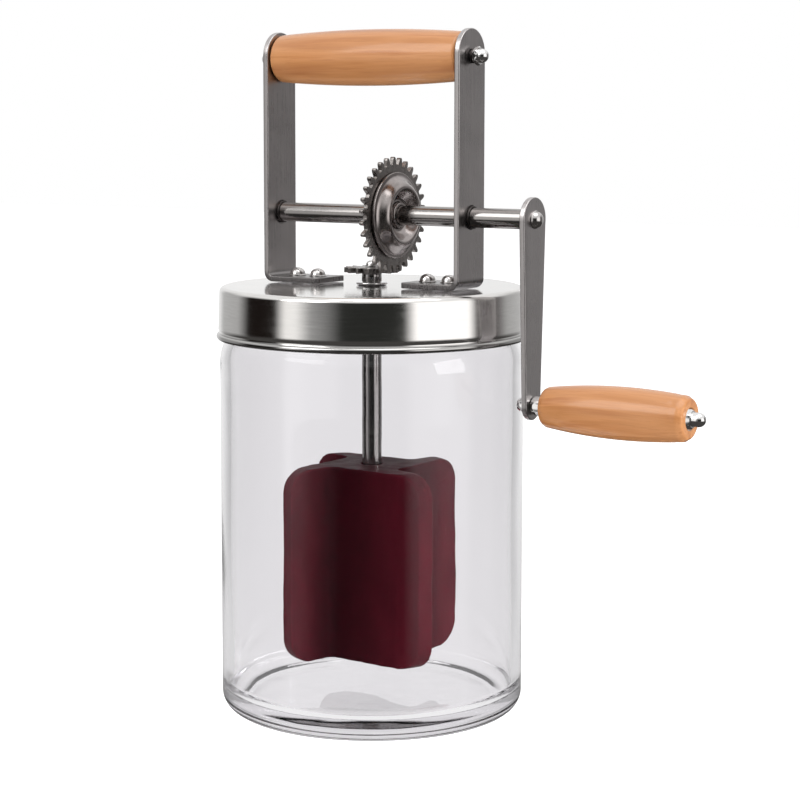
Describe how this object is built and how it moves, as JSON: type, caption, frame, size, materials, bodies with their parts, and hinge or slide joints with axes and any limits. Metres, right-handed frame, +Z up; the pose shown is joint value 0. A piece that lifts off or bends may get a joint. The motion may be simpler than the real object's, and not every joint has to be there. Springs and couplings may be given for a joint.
{
  "type": "hand-cranked butter churn",
  "caption": "Glass jar with a screw lid that carries a stand, a wooden carrying handle and a side crank; the crank turns a paddle inside the jar through a gear and pinion.",
  "frame": {"origin": "middle of the jar's flat underside, on the jar's own axis", "axes": "+Z up along the jar's axis, +X along the crank shaft towards the crank arm, +Y completes a right-handed frame"},
  "size_m": [0.1839, 0.1098, 0.2404],
  "materials": {
    "glass": "clear",
    "seal": "matt",
    "polished_steel": "polished stainless steel",
    "brushed_steel": "brushed",
    "bright_steel": "polished",
    "burnished_steel": "burnished, darker",
    "dark_steel": "blackened",
    "wood": "satin varnish",
    "red_plastic": "satin"
  },
  "bodies": {
    "jar": {"glass_jar": "glass"},
    "gasket": {"lid_gasket": "seal"},
    "lid": {"lid_shell": "polished_steel", "left_upright": "brushed_steel", "right_upright": "brushed_steel", "foot_rivet_left_outer": "bright_steel", "foot_rivet_left_inner": "bright_steel", "foot_rivet_right_inner": "bright_steel", "foot_rivet_right_outer": "bright_steel", "left_shaft_bush": "dark_steel", "right_shaft_bush": "dark_steel", "handle_grip": "wood", "handle_rod": "brushed_steel", "handle_spacer_left": "dark_steel", "handle_spacer_right": "dark_steel", "handle_nut_left": "bright_steel", "handle_nut_right": "bright_steel", "lid_bush": "dark_steel"},
    "crank": {"crank_shaft": "brushed_steel", "drive_gear": "burnished_steel", "gear_dish": "burnished_steel", "gear_hub": "burnished_steel", "shaft_ring_right": "dark_steel", "shaft_ring_left": "dark_steel", "crank_arm": "brushed_steel", "crank_rivet": "bright_steel", "grip_bolt": "brushed_steel", "grip_bolt_nut": "bright_steel", "grip_lock_nut": "bright_steel", "grip_end_nut": "bright_steel"},
    "grip": {"crank_grip": "wood"},
    "beater": {"beater_shaft": "brushed_steel", "pinion": "burnished_steel", "pinion_nut": "bright_steel", "thrust_ring": "bright_steel", "retaining_ring": "bright_steel", "paddle": "red_plastic"}
  },
  "joints": [
    {"name": "lid_lift", "type": "slide", "parent": "jar", "child": "gasket", "axis": [0, 0, 1], "range_m": [0, 0.15]},
    {"name": "lid_turn", "type": "hinge", "parent": "gasket", "child": "lid", "pos_m": [0, 0, 0.151], "axis": [0, 0, 1], "range_deg": [0, 90]},
    {"name": "crank_spin", "type": "hinge", "parent": "lid", "child": "crank", "pos_m": [0, 0, 0.176], "axis": [1, 0, 0], "continuous": true},
    {"name": "grip_spin", "type": "hinge", "parent": "crank", "child": "grip", "pos_m": [0.097, 0, 0.1131], "axis": [1, 0, 0], "continuous": true},
    {"name": "beater_spin", "type": "hinge", "parent": "lid", "child": "beater", "pos_m": [0, 0, 0.151], "axis": [0, 0, 1], "continuous": true}
  ],
  "couplings": [
    {"joint": "beater_spin", "follows": "crank_spin", "ratio": 2.1429}
  ]
}
